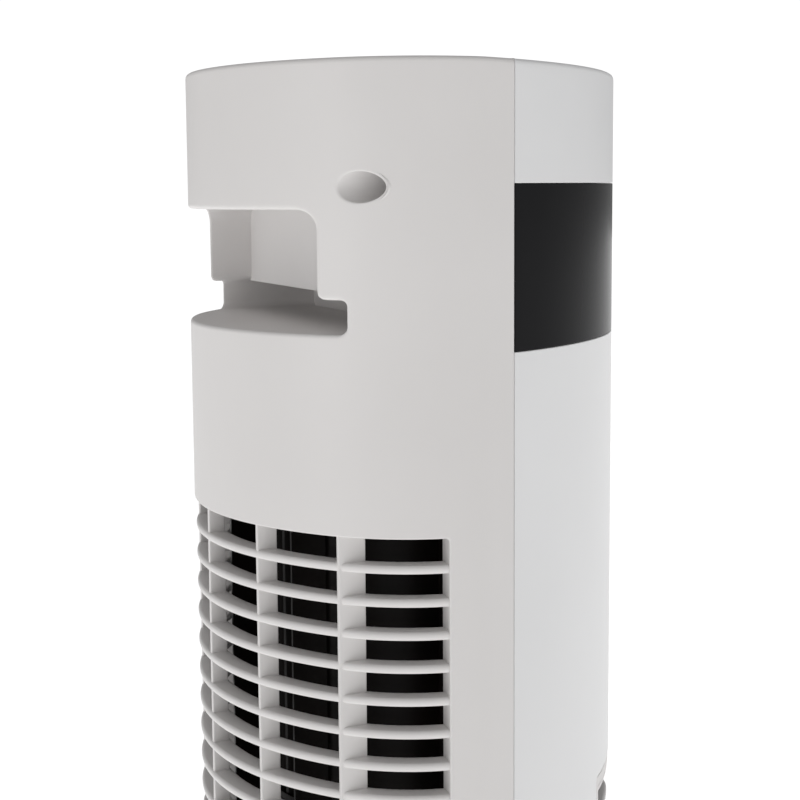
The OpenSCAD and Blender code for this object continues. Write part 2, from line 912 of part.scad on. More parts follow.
// Hollow post that the column turns on, with a flange on the base plate.
module swivel_post() {
    top = gear_z + gear_w + 0.5;
    color("ivory") translate([0, 0, foot_h + 2.5]) {
        tube(post_r, post_bore / 2, top - foot_h - 2.5);
        tube(post_flange_d / 2 - gap, post_bore / 2, 3.5);
    }
}

module slip_washer() {
    color("ivory") translate([0, 0, crown_z]) tube(crown_r - 10, post_r + 6, column_z - gap - crown_z);
}

gland_d = 9;
gland_z = foot_h + 2.5 + gap + gland_d / 2;
gland_flange_t = 1.8;
cord_d = 6;

module cord_gland() {
    flange_y = base_r - 0.2 - gland_flange_t;
    color(black) translate([0, flange_y - 4, gland_z]) rotate([-90, 0, 0]) difference() {
        union() {
            cylinder(d = gland_d, h = 4);
            translate([0, 0, 4]) cylinder(d = gland_d + 4, h = gland_flange_t);
        }
        translate([0, 0, -1]) cylinder(d = cord_d, h = 12);
    }
}

rear_housing();
front_housing();
display_window();
top_panel();
outlet_grille();
air_guides();
bottom_cap();
duct_bottom_plate();
duct_top_plate();
scroll_guide();
cutoff_tongue();
intake_vanes();
impeller();
impeller_hub();
impeller_pin();
motor_shaft();
motor_rotor();
motor_stator();
motor_windings();
motor_upper_bracket();
motor_lower_bracket();
motor_mounts();
bearing_bush();
bearing_rubber();
bearing_holder();
swivel_motor();
swivel_motor_screws();
swivel_pinion();
pinion_shaft();
control_board();
board_parts();
run_capacitor();
wiring_loom();
button_board();
button_switches();
indicator_board();
led_display();
infrared_receiver();
power_button();
speed_button();
mode_button();
timer_button();
swing_button();
housing_screws();
base_cover();
base_plate();
base_weight();
base_feet();
base_screws();
swivel_post();
swivel_gear();
slip_washer();
cord_gland();
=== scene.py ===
# Tower fan: shells modelled flat and bent round the column, then dressed with studio light.
import json
import math

import bmesh
import bpy
from mathutils import Matrix, Vector


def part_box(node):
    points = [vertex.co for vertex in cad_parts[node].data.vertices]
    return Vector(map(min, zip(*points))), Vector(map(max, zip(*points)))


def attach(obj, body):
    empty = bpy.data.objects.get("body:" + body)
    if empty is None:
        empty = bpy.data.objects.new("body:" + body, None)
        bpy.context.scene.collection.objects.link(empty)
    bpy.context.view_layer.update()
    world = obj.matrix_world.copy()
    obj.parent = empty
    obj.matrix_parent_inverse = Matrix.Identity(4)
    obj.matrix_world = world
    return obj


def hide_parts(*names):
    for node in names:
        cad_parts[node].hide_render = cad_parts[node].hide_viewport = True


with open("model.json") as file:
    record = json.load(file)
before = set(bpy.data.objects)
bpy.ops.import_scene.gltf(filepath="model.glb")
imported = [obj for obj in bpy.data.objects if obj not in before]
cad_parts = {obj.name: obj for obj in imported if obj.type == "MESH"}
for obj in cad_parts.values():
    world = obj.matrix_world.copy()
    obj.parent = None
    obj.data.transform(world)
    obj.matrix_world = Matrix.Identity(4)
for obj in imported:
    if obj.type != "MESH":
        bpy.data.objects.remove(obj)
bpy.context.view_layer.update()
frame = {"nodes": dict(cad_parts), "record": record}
print("frame loaded")

mm = 0.001


# what the frame gives

def low(node, axis):
    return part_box(node)[0][axis]


def high(node, axis):
    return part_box(node)[1][axis]


columnTop = high("rear_housing", 2)
columnFoot = low("rear_housing", 2)
rearY = high("rear_housing", 1)
noseY = low("front_housing", 1)
halfWidth = high("rear_housing", 0)
seamY = low("rear_housing", 1)
windowTop = high("display_window", 2)
windowFoot = low("display_window", 2)

column = {
    "widestY": 14.3 * mm,
    "sideRadius": 58 * mm,
    "cheekRadius": 20 * mm,
    "flankRadius": 167 * mm,
    "noseRadius": 26.5 * mm,
    "wall": 2.6 * mm,
    "strip": 2.4 * mm,       # spacing of the upright lines that let a flat sheet bend
    "seamLip": 0.6 * mm,
    "seamWall": 3 * mm,
}


# the column's outline, walked by arc length from the rear apex

def outlineArcs():
    # each arc: centre x, centre y, radius, angle at its start, angle at its end (degrees, falling)
    c = column
    depth = rearY - c["widestY"]
    sideX = halfWidth - c["sideRadius"]
    rearR = (sideX ** 2 + depth ** 2 - c["sideRadius"] ** 2) / (2 * (depth - c["sideRadius"]))
    rearC = rearY - rearR
    turn = math.degrees(math.atan2(c["widestY"] - rearC, sideX))
    cheekX = halfWidth - c["cheekRadius"]
    noseC = noseY + c["noseRadius"]
    cheek = Vector((cheekX, c["widestY"]))
    nose = Vector((0, noseC))
    link = nose - cheek
    a = c["flankRadius"] - c["cheekRadius"]
    b = c["flankRadius"] - c["noseRadius"]
    along = (a * a - b * b + link.length ** 2) / (2 * link.length)
    aside = math.sqrt(a * a - along * along)
    unit = link.normalized()
    flank = cheek + unit * along + Vector((unit.y, -unit.x)) * aside
    cheekAngle = math.degrees(math.atan2(cheek.y - flank.y, cheek.x - flank.x))
    noseAngle = math.degrees(math.atan2(nose.y - flank.y, nose.x - flank.x))
    return [
        (0, rearC, rearR, 90, turn),
        (sideX, c["widestY"], c["sideRadius"], turn, 0),
        (cheekX, c["widestY"], c["cheekRadius"], 0, cheekAngle),
        (flank.x, flank.y, c["flankRadius"], cheekAngle, noseAngle),
        (0, noseC, c["noseRadius"], noseAngle, -90),
    ]


arcs = outlineArcs()
arcLengths = [r * math.radians(a0 - a1) for _, _, r, a0, a1 in arcs]
halfRound = sum(arcLengths)


def outlineAt(p):
    # point and outward normal; p runs +X first, and past the nose it comes back on the other side
    if p > halfRound:
        x, y, nx, ny = outlineAt(2 * halfRound - p)
        return -x, y, -nx, ny
    left = abs(p)
    side = -1 if p < 0 else 1
    for (cx, cy, r, a0, a1), length in zip(arcs, arcLengths):
        if left <= length or a1 == -90:
            angle = math.radians(a0) - left / r
            nx, ny = math.cos(angle), math.sin(angle)
            return side * (cx + r * nx), cy + r * ny, side * nx, ny
        left -= length


def walkTo(test):
    # arc length at which test(x, y) first turns true, found by halving
    a, b = 0.0, halfRound
    for _ in range(50):
        m = (a + b) / 2
        x, y, _, _ = outlineAt(m)
        if test(x, y):
            b = m
        else:
            a = m
    return b


def walkToX(x):
    side = -1 if x < 0 else 1
    return side * walkTo(lambda px, py: px >= abs(x) or py < column["widestY"])


seamP = walkTo(lambda x, y: y <= seamY)
farSeamP = 2 * halfRound - seamP


# flat work

def roundedPath(corners, radii, grow, steps=6):
    # closed path with square corners rounded; grow moves it outward; corners run anticlockwise
    points = []
    count = len(corners)
    for i in range(count):
        a, b, c = (Vector(corners[(i + k) % count]) for k in (-1, 0, 1))
        d0, d1 = (b - a).normalized(), (c - b).normalized()
        n0, n1 = Vector((d0.y, -d0.x)), Vector((d1.y, -d1.x))
        convex = d0.x * d1.y - d0.y * d1.x > 0
        sign = 1 if convex else -1
        r = max(radii[i] + sign * grow, 0.05 * mm)
        corner = b + (n0 + n1) * grow
        centre = corner - (n0 + n1) * r * sign
        for k in range(steps + 1):
            t = math.pi / 2 * k / steps
            points.append(centre + (n0 * math.cos(t) + n1 * math.sin(t)) * r * sign)
    return points


def circlePath(x, z, r, steps=40):
    return [Vector((x + r * math.cos(t * math.tau / steps), z + r * math.sin(t * math.tau / steps)))
            for t in range(steps)]


def addLoop(bm, points):
    verts = [bm.verts.new((p.x, 0, p.y)) for p in points]
    return [bm.edges.new((verts[i], verts[(i + 1) % len(verts)])) for i in range(len(verts))]


def cutStrips(bm):
    ps = [v.co.x for v in bm.verts]
    first, last = min(ps), max(ps)
    count = max(2, round((last - first) / column["strip"]))
    for i in range(1, count):
        geom = bm.verts[:] + bm.edges[:] + bm.faces[:]
        bmesh.ops.bisect_plane(bm, geom=geom, dist=1e-7, plane_no=(1, 0, 0),
                               plane_co=(first + (last - first) * i / count, 0, 0))


def bent(p, q, z):
    x, y, nx, ny = outlineAt(p)
    return Vector((x - nx * q, y - ny * q, z))


def bendRound(bm):
    for v in bm.verts:
        v.co = bent(*v.co)


class Rim:
    # an edge of a sheet: outer is where the round starts, sharp is the corner it rounds
    def __init__(self, outer, sharp, depth, draw=None):
        self.outer = outer
        self.sharp = sharp
        self.depth = depth
        self.draw = draw      # direction of the wall, or none for square to the skin

    def nearest(self, p, z):
        best = None
        here = Vector((p, z))
        for i in range(len(self.outer)):
            a, b = self.outer[i], self.outer[(i + 1) % len(self.outer)]
            ab = b - a
            t = 0 if ab.length_squared == 0 else max(0, min(1, (here - a).dot(ab) / ab.length_squared))
            gap = (a + ab * t - here).length
            if best is None or gap < best[0]:
                j = (i + 1) % len(self.outer)
                best = (gap, self.sharp[i].lerp(self.sharp[j], t),
                        self.depth[i] + (self.depth[j] - self.depth[i]) * t)
        return best


def bendSheet(rims):
    # fills the first rim less the others, bends it round the column and rounds every rim
    bm = bmesh.new()
    edges = []
    for rim in rims:
        edges += addLoop(bm, rim.outer)
    bmesh.ops.triangle_fill(bm, use_beauty=True, use_dissolve=False, edges=edges)
    cutStrips(bm)
    found = {rim: {} for rim in rims}
    for v in bm.verts:
        if v.is_boundary:
            gaps = [(rim.nearest(v.co.x, v.co.z), rim) for rim in rims]
            (_, sharp, depth), rim = min(gaps, key=lambda g: g[0][0])
            corner = bent(sharp.x, 0, sharp.y)
            if rim.draw:
                wall = Vector(rim.draw)
            else:
                _, _, nx, ny = outlineAt(sharp.x)
                wall = Vector((-nx, -ny, 0))
            found[rim][v] = (bent(*v.co), corner, corner + wall * depth)
    bendRound(bm)
    loops = []
    for rim in rims:
        loops.append(roundRim(bm, found[rim]))
    return bm, loops


def roundRim(bm, corners, steps=4):
    edges = [e for e in bm.edges if e.is_boundary and e.verts[0] in corners and e.verts[1] in corners]
    for k in range(1, steps + 1):
        t = k / steps
        edges, corners = pushEdges(bm, edges, corners, lambda c: c[0] * (1 - t) ** 2
                                   + c[1] * 2 * t * (1 - t) + c[2] * t * t)
    return edges, corners


def pushEdges(bm, edges, corners, place):
    # extrudes a rim and puts each new point where place(its corner) says
    made = bmesh.ops.extrude_edge_only(bm, edges=edges)["geom"]
    newVerts = {g for g in made if isinstance(g, bmesh.types.BMVert)}
    newEdges = [g for g in made if isinstance(g, bmesh.types.BMEdge)
                and g.verts[0] in newVerts and g.verts[1] in newVerts]
    kept = {}
    for v in newVerts:
        for e in v.link_edges:
            old = e.other_vert(v)
            if old in corners:
                kept[v] = corners[old]
    for v, corner in kept.items():
        v.co = place(corner)
    return newEdges, kept


def markSharp(bm, degrees):
    for e in bm.edges:
        if len(e.link_faces) == 2 and e.calc_face_angle(0) > math.radians(degrees):
            e.smooth = False
    for f in bm.faces:
        f.smooth = True


def faceOut(bm):
    # an open sheet has no inside, so the largest faces decide which way is out
    bmesh.ops.recalc_face_normals(bm, faces=bm.faces[:])
    score = 0
    for f in bm.faces:
        c = f.calc_center_median()
        score += f.calc_area() * (f.normal.x * c.x + f.normal.y * c.y)
    if score < 0:
        bmesh.ops.reverse_faces(bm, faces=bm.faces[:])


def makePiece(bm, name, body, material, nodes=(), sharp=40, thickness=0):
    markSharp(bm, sharp)
    mesh = bpy.data.meshes.new(name)
    bm.to_mesh(mesh)
    bm.free()
    piece = bpy.data.objects.new(name, mesh)
    bpy.context.scene.collection.objects.link(piece)
    mesh.materials.append(material)
    if thickness:
        wall = piece.modifiers.new("wall", "SOLIDIFY")
        wall.thickness = thickness
        wall.offset = -1
    even = piece.modifiers.new("evenNormals", "WEIGHTED_NORMAL")
    even.keep_sharp = True
    even.weight = 60
    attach(piece, body)
    if nodes:
        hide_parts(*nodes)
    print("made", name, len(mesh.polygons), "faces")
    return piece


def boxAt(bm, lo, hi, rounding=0, segments=3):
    size = Vector(hi) - Vector(lo)
    place = Matrix.Translation((Vector(hi) + Vector(lo)) / 2) @ Matrix.Diagonal((*size, 1))
    verts = bmesh.ops.create_cube(bm, size=1, matrix=place)["verts"]
    if rounding:
        edges = list({e for v in verts for e in v.link_edges})
        bmesh.ops.bevel(bm, geom=edges, offset=rounding, segments=segments, profile=0.5,
                        affect="EDGES", material=-1)


def lathe(profile, steps, centre=(0, 0, 0)):
    # turns a profile of (radius, height) about an upright axis
    bm = bmesh.new()
    cx, cy, cz = centre
    verts = [bm.verts.new((cx + r, cy, cz + z)) for r, z in profile]
    edges = [bm.edges.new(pair) for pair in zip(verts, verts[1:])]
    bmesh.ops.spin(bm, geom=verts + edges, cent=(cx, cy, 0), axis=(0, 0, 1), dvec=(0, 0, 0),
                   angle=math.tau, steps=steps, use_merge=True, use_duplicate=False)
    bmesh.ops.remove_doubles(bm, verts=bm.verts[:], dist=1e-6)
    bmesh.ops.recalc_face_normals(bm, faces=bm.faces[:])
    return bm


# materials

def nodeMaterial(name):
    material = bpy.data.materials.new(name)
    material.use_nodes = True
    nodes = material.node_tree.nodes
    shader = nodes["Principled BSDF"]
    coords = nodes.new("ShaderNodeTexCoord")
    return material, nodes, material.node_tree.links, shader, coords


def mouldedPlastic(name, settings):
    # base colour with a faint mottle, a spark-eroded grain and slightly uneven gloss
    s = settings
    material, nodes, links, shader, coords = nodeMaterial(name)
    mottle = nodes.new("ShaderNodeTexNoise")
    mottle.inputs["Scale"].default_value = s["mottleScale"]
    mottle.inputs["Detail"].default_value = 4
    links.new(coords.outputs["Object"], mottle.inputs["Vector"])
    tint = nodes.new("ShaderNodeValToRGB")
    dark, light = s["dark"], s["light"]
    tint.color_ramp.elements[0].position = 0.3
    tint.color_ramp.elements[1].position = 0.7
    tint.color_ramp.elements[0].color = (*dark, 1)
    tint.color_ramp.elements[1].color = (*light, 1)
    links.new(mottle.outputs["Fac"], tint.inputs["Fac"])
    links.new(tint.outputs["Color"], shader.inputs["Base Color"])
    gloss = nodes.new("ShaderNodeMapRange")
    gloss.inputs["To Min"].default_value = s["roughness"] - s["roughSpread"]
    gloss.inputs["To Max"].default_value = s["roughness"] + s["roughSpread"]
    links.new(mottle.outputs["Fac"], gloss.inputs["Value"])
    links.new(gloss.outputs["Result"], shader.inputs["Roughness"])
    grain = nodes.new("ShaderNodeTexNoise")
    grain.inputs["Scale"].default_value = s["grainScale"]
    grain.inputs["Detail"].default_value = 3
    links.new(coords.outputs["Object"], grain.inputs["Vector"])
    bump = nodes.new("ShaderNodeBump")
    bump.inputs["Strength"].default_value = s["grain"]
    bump.inputs["Distance"].default_value = 0.0002
    links.new(grain.outputs["Fac"], bump.inputs["Height"])
    links.new(bump.outputs["Normal"], shader.inputs["Normal"])
    shader.inputs["Specular IOR Level"].default_value = s.get("specular", 0.5)
    shader.inputs["Coat Weight"].default_value = s.get("coat", 0)
    shader.inputs["Coat Roughness"].default_value = s.get("coatRoughness", 0.03)
    return material


def brushedMetal(name, settings):
    s = settings
    material, nodes, links, shader, coords = nodeMaterial(name)
    stretch = nodes.new("ShaderNodeMapping")
    stretch.inputs["Scale"].default_value = s["stretch"]
    links.new(coords.outputs["Object"], stretch.inputs["Vector"])
    lines = nodes.new("ShaderNodeTexNoise")
    lines.inputs["Scale"].default_value = s["scale"]
    lines.inputs["Detail"].default_value = 5
    links.new(stretch.outputs["Vector"], lines.inputs["Vector"])
    tint = nodes.new("ShaderNodeValToRGB")
    tint.color_ramp.elements[0].color = (*s["dark"], 1)
    tint.color_ramp.elements[1].color = (*s["light"], 1)
    links.new(lines.outputs["Fac"], tint.inputs["Fac"])
    links.new(tint.outputs["Color"], shader.inputs["Base Color"])
    rough = nodes.new("ShaderNodeMapRange")
    rough.inputs["To Min"].default_value = s["roughness"] - 0.08
    rough.inputs["To Max"].default_value = s["roughness"] + 0.08
    links.new(lines.outputs["Fac"], rough.inputs["Value"])
    links.new(rough.outputs["Result"], shader.inputs["Roughness"])
    shader.inputs["Metallic"].default_value = 1
    return material


housingWhite = mouldedPlastic("housingWhite", {
    "dark": (0.74, 0.72, 0.71), "light": (0.77, 0.75, 0.74), "mottleScale": 14,
    "roughness": 0.46, "roughSpread": 0.03, "grainScale": 2600, "grain": 0.10,
})
frontGrey = mouldedPlastic("frontGrey", {
    "dark": (0.79, 0.79, 0.795), "light": (0.82, 0.82, 0.825), "mottleScale": 12,
    "roughness": 0.36, "roughSpread": 0.03, "grainScale": 3200, "grain": 0.05,
})
windowBlack = mouldedPlastic("windowBlack", {
    "dark": (0.011, 0.011, 0.012), "light": (0.014, 0.014, 0.015), "mottleScale": 9,
    "roughness": 0.22, "roughSpread": 0.02, "grainScale": 400, "grain": 0.004, "specular": 0.03,
})
innerBlack = mouldedPlastic("innerBlack", {
    "dark": (0.0030, 0.0022, 0.0020), "light": (0.0060, 0.0038, 0.0032), "mottleScale": 40,
    "roughness": 0.40, "roughSpread": 0.06, "grainScale": 1800, "grain": 0.10, "specular": 0.12,
})
rubberBlack = mouldedPlastic("rubberBlack", {
    "dark": (0.020, 0.020, 0.020), "light": (0.032, 0.032, 0.032), "mottleScale": 120,
    "roughness": 0.78, "roughSpread": 0.06, "grainScale": 1500, "grain": 0.35, "specular": 0.3,
})
boardGreen = mouldedPlastic("boardGreen", {
    "dark": (0.020, 0.11, 0.055), "light": (0.030, 0.15, 0.075), "mottleScale": 260,
    "roughness": 0.30, "roughSpread": 0.05, "grainScale": 900, "grain": 0.08,
})
naturalNylon = mouldedPlastic("naturalNylon", {
    "dark": (0.72, 0.69, 0.60), "light": (0.78, 0.75, 0.66), "mottleScale": 60,
    "roughness": 0.42, "roughSpread": 0.04, "grainScale": 1400, "grain": 0.08,
})
castIron = mouldedPlastic("castIron", {
    "dark": (0.035, 0.035, 0.038), "light": (0.060, 0.060, 0.064), "mottleScale": 300,
    "roughness": 0.62, "roughSpread": 0.08, "grainScale": 700, "grain": 0.6,
})
steel = brushedMetal("brushedSteel", {
    "dark": (0.42, 0.42, 0.43), "light": (0.62, 0.62, 0.64), "scale": 160,
    "stretch": (1, 1, 14), "roughness": 0.34,
})
brass = brushedMetal("sinteredBrass", {
    "dark": (0.46, 0.30, 0.13), "light": (0.62, 0.43, 0.20), "scale": 500,
    "stretch": (1, 1, 1), "roughness": 0.42,
})
copper = brushedMetal("copperWire", {
    "dark": (0.40, 0.16, 0.07), "light": (0.68, 0.32, 0.16), "scale": 90,
    "stretch": (1, 1, 22), "roughness": 0.32,
})
slotLooks = {
    "housing_white": housingWhite, "front_grey": frontGrey, "window_black": windowBlack,
    "inner_black": innerBlack, "rubber_black": rubberBlack, "board_green": boardGreen,
    "nylon": naturalNylon, "iron": castIron, "steel": steel, "brass": brass, "copper": copper,
}
for part in frame["record"]["subparts"]:
    node = frame["nodes"][part["node"]]
    node.data.materials.clear()
    node.data.materials.append(slotLooks[part["material_slot"]])
print("materials done")

# camera, light and floor

camera = {
    "place": (-0.608, 0.2521, 0.857),
    "aim": (0.9265, -0.3763),
    "downTilt": 7.12,
    "roll": -0.42,
    "lens": 76.5,
}


def addCamera():
    c = camera
    data = bpy.data.cameras.new("camera")
    data.lens = c["lens"]
    data.clip_start = 0.01
    eye = bpy.data.objects.new("camera", data)
    bpy.context.scene.collection.objects.link(eye)
    tilt = math.radians(c["downTilt"])
    aim = Vector((*c["aim"], 0)).normalized()
    view = aim * math.cos(tilt) - Vector((0, 0, math.sin(tilt)))
    turn = view.to_track_quat("-Z", "Y").to_matrix().to_4x4()
    roll = Matrix.Rotation(math.radians(c["roll"]), 4, "Z")
    eye.matrix_world = Matrix.Translation(c["place"]) @ turn @ roll
    bpy.context.scene.camera = eye


def addLight(name, place, aim, size, power):
    data = bpy.data.lights.new(name, "AREA")
    data.shape = "RECTANGLE"
    data.size, data.size_y = size
    data.energy = power
    lamp = bpy.data.objects.new(name, data)
    lamp.location = place
    lamp.rotation_euler = (Vector(aim) - Vector(place)).to_track_quat("-Z", "Y").to_euler()
    bpy.context.scene.collection.objects.link(lamp)


studio = {
    "world": 0.30,
    "backdrop": 1.05,
    "aimDrop": 0.15,
    # each lamp: place across, place along, height over the top, size and power
    "lamps": {
        "rearSoftbox": (-0.45, 1.5, -0.085, (0.7, 0.14), 2.8),
        "frontSoftbox": (-1.0, -1.3, 0.1, (1.6, 1.6), 2.4),
        "topSoftbox": (-0.2, 0.1, 1.3, (1.8, 1.8), 2),
    },
}


def addStudio():
    world = bpy.data.worlds.new("studio")
    bpy.context.scene.world = world
    world.use_nodes = True
    nodes, links = world.node_tree.nodes, world.node_tree.links
    ground = nodes["Background"]
    ground.inputs["Color"].default_value = (1, 1, 1, 1)
    ground.inputs["Strength"].default_value = studio["world"]
    backdrop = nodes.new("ShaderNodeBackground")
    backdrop.inputs["Color"].default_value = (1, 1, 1, 1)
    backdrop.inputs["Strength"].default_value = studio["backdrop"]
    path = nodes.new("ShaderNodeLightPath")
    mix = nodes.new("ShaderNodeMixShader")
    links.new(path.outputs["Is Camera Ray"], mix.inputs["Fac"])
    links.new(ground.outputs["Background"], mix.inputs[1])
    links.new(backdrop.outputs["Background"], mix.inputs[2])
    links.new(mix.outputs["Shader"], nodes["World Output"].inputs["Surface"])
    middle = (0, 0, columnTop - studio["aimDrop"])
    for name, (x, y, rise, size, power) in studio["lamps"].items():
        addLight(name, (x, y, columnTop + rise), middle, size, power)
    scene = bpy.context.scene
    scene.view_settings.view_transform = "Standard"
    scene.view_settings.look = "None"


floorPaper = {
    "half": 25,
    "drop": 0.0002,
    "glow": 0.84,
    "dark": (0.86, 0.86, 0.86), "light": (0.90, 0.90, 0.90), "mottleScale": 3,
    "roughness": 0.8, "roughSpread": 0.05, "grainScale": 300, "grain": 0.05,
}


def addFloor():
    bm = bmesh.new()
    bmesh.ops.create_grid(bm, x_segments=2, y_segments=2, size=floorPaper["half"])
    mesh = bpy.data.meshes.new("floor")
    bm.to_mesh(mesh)
    bm.free()
    floor = bpy.data.objects.new("floor", mesh)
    floor.location.z = -floorPaper["drop"]
    bpy.context.scene.collection.objects.link(floor)
    look = mouldedPlastic("floorPaper", floorPaper)
    shader = look.node_tree.nodes["Principled BSDF"]
    shader.inputs["Emission Color"].default_value = (1, 1, 1, 1)
    shader.inputs["Emission Strength"].default_value = floorPaper["glow"]
    mesh.materials.append(look)


addCamera()
addStudio()
addFloor()
print("camera, light and floor done")

# rear housing

rear = {
    "topRound": 2.0 * mm,
    "seamRound": 0.4 * mm,
    "seamGap": 0.3 * mm,
    "footRound": 0.8 * mm,
    "lipDrop": 50.3 * mm,
    "pocketWide": 130 * mm,
    "pocketHigh": 30.2 * mm,
    "pocketDepth": 40 * mm,
    "pocketCorner": 6.7 * mm,
    "slotWide": 147 * mm,
    "slotHigh": 11.7 * mm,
    "slotDepth": 70 * mm,
    "slotCorner": 2.4 * mm,
    "handleRound": 1.6 * mm,
    "innerRound": 1.3 * mm,
    "lip": 4.0 * mm,
    "fingerHigh": 15 * mm,
    "accessWide": 10.4 * mm,
    "accessRound": 0.7 * mm,
    "screwX": 77 * mm,
    "screwDrop": 42.7 * mm,
    "screwLow": 120 * mm,
    "screwFloorY": 22 * mm,
    "intakeDrop": 161.4 * mm,
    "intakeLow": 205 * mm,
    "intakeRound": 0.7 * mm,
    "intakeCorner": 1.2 * mm,
    "intakeStart": 9.3 * mm,     # behind the widest line
    "intakeWall": 9 * mm,
    "skin": 1.0 * mm,
}


def borderRim(p0, p1, z0, z1, sideRound, lowRound, topRound):
    # every corner is split in two, so that the rounds meeting there keep their own depth
    step = 0.04 * mm
    corners = [(p0, z0, 1, 1, lowRound), (p1, z0, -1, 1, lowRound),
               (p1, z1, -1, -1, topRound), (p0, z1, 1, -1, topRound)]
    outer, sharp, depth = [], [], []
    for i, (p, z, sp, sz, endRound) in enumerate(corners):
        point = Vector((p + sp * sideRound, z + sz * endRound))
        upright = (point + Vector((0, sz * step)), Vector((p, z + sz * step)), sideRound)
        level = (point + Vector((sp * step, 0)), Vector((p + sp * step, z)), endRound)
        order = (upright, level) if i % 2 == 0 else (level, upright)
        for o, c, d in order:
            outer.append(o)
            sharp.append(c)
            depth.append(d)
    return Rim(outer, sharp, depth)


def handlePath(grow):
    r = rear
    w, s = r["pocketWide"] / 2, r["slotWide"] / 2
    lip = columnTop - r["lipDrop"]
    shoulder = lip - r["pocketHigh"]
    shelf = shoulder - r["slotHigh"]
    corners = [(-s, shelf), (s, shelf), (s, shoulder), (w, shoulder),
               (w, lip), (-w, lip), (-w, shoulder), (-s, shoulder)]
    small = r["slotCorner"]
    radii = [small * 1.1, small * 1.1, small * 0.8, small,
             r["pocketCorner"], r["pocketCorner"], small, small * 0.8]
    return roundedPath(corners, radii, grow)


def toSkin(path):
    return [Vector((walkToX(v.x), v.y)) for v in path]


def boredRims():
    r = rear
    rims = []
    for x in (-r["screwX"], r["screwX"]):
        for z in (r["screwLow"], columnTop - r["screwDrop"]):
            radius = r["accessWide"] / 2
            sharp = toSkin(circlePath(x, z, radius))
            rims.append(Rim(toSkin(circlePath(x, z, radius + r["accessRound"])), sharp,
                            [r["accessRound"]] * len(sharp), (0, -1, 0)))
    return rims


def intakeRim():
    r = rear
    end = walkTo(lambda x, y: y <= column["widestY"] + rear["intakeStart"])
    z0, z1 = r["intakeLow"], columnTop - r["intakeDrop"]
    corners = [(-end, z0), (end, z0), (end, z1), (-end, z1)]
    outer = roundedPath(corners, [r["intakeCorner"]] * 4, r["intakeRound"])
    sharp = roundedPath(corners, [r["intakeCorner"]] * 4, 0)
    return Rim(outer, sharp, [r["intakeRound"]] * len(sharp))


def finishHandle(bm, edges, corners):
    # walls run inward to the pocket's floor, and the slot below it goes on deeper
    r = rear
    floorY = rearY - r["pocketDepth"]
    slotY = rearY - r["slotDepth"]
    shoulder = columnTop - r["lipDrop"] - r["pocketHigh"]

    def atDepth(y):
        return lambda c: Vector((c[1].x, y, c[1].z))

    lipEdges, corners = pushEdges(bm, edges, corners, lambda c: c[2] - Vector((0, r["lip"], 0)))
    edges, corners = pushEdges(bm, lipEdges, corners, atDepth(floorY))
    level = shoulder + 0.01 * mm

    def isUpper(e):
        return (e.verts[0].co.z + e.verts[1].co.z) / 2 > level

    upper = [e for e in edges if isUpper(e)]
    lower = [e for e in edges if not isUpper(e)]
    ends = {v for e in upper for v in e.verts} & {v for e in lower for v in e.verts}
    ledge = bm.edges.new(tuple(ends))
    upper.append(ledge)
    lower.append(ledge)
    floor = bmesh.ops.edgeloop_fill(bm, edges=upper)["faces"]
    made = bmesh.ops.extrude_edge_only(bm, edges=lower)["geom"]
    deepVerts = [g for g in made if isinstance(g, bmesh.types.BMVert)]
    for v in deepVerts:
        v.co.y = slotY
    deepEdges = [g for g in made if isinstance(g, bmesh.types.BMEdge)
                 and all(v in deepVerts for v in g.verts)]
    end = bmesh.ops.edgeloop_fill(bm, edges=deepEdges)["faces"]
    liftFingers(bm, floorY)
    soft = {e for f in floor + end for e in f.edges}
    bmesh.ops.bevel(bm, geom=list(soft), offset=r["innerRound"], segments=3, profile=0.5,
                    affect="EDGES", material=-1, clamp_overlap=True)


def liftFingers(bm, floorY):
    # the ceiling behind the lip rises, so that fingertips can hook over it
    r = rear
    lip = columnTop - r["lipDrop"]
    straight = r["pocketWide"] / 2 - r["pocketCorner"]
    ceiling = [f for f in bm.faces if all(abs(v.co.z - lip) < 0.02 * mm for v in f.verts)
               and min(v.co.y for v in f.verts) < floorY + 0.1 * mm
               and max(abs(v.co.x) for v in f.verts) < straight]
    if ceiling:
        made = bmesh.ops.extrude_face_region(bm, geom=ceiling)["geom"]
        verts = [g for g in made if isinstance(g, bmesh.types.BMVert)]
        bmesh.ops.translate(bm, verts=verts, vec=(0, 0, r["fingerHigh"]))
        bmesh.ops.delete(bm, geom=ceiling, context="FACES")


def turnIn(bm, edges, corners, rim, deep):
    # the top edge runs down behind its rim; every other edge runs straight into the shell
    def across(c):
        return c[2] + (c[2] - c[1]).normalized() * rim

    def inward(c):
        if c[1].z > columnTop - 0.1 * mm:
            return across(c) - Vector((0, 0, deep))
        return across(c) + (c[2] - c[1]).normalized() * deep

    edges, corners = pushEdges(bm, edges, corners, across)
    pushEdges(bm, edges, corners, inward)


def addRearHousing():
    r = rear
    edge = seamP - r["seamGap"]
    border = borderRim(-edge, edge, columnFoot, columnTop, r["seamRound"], r["footRound"], r["topRound"])
    grow = r["handleRound"]
    outer, sharp = toSkin(handlePath(grow)), toSkin(handlePath(0))
    handle = Rim(outer, sharp, [grow] * len(sharp), (0, -1, 0))
    bm, loops = bendSheet([border, handle, intakeRim()] + boredRims())
    turnIn(bm, *loops[0], column["seamLip"], column["seamWall"])
    finishHandle(bm, *loops[1])
    edges, corners = loops[2]
    pushEdges(bm, edges, corners, wallPlace(r["intakeWall"]))
    for edges, corners in loops[3:]:
        edges, corners = pushEdges(bm, edges, corners,
                                   lambda c: Vector((c[1].x, r["screwFloorY"], c[1].z)))
        bmesh.ops.edgeloop_fill(bm, edges=edges)
    faceOut(bm)
    makePiece(bm, "rearHousing", "column", housingWhite, ["rear_housing"],
              thickness=r["skin"])


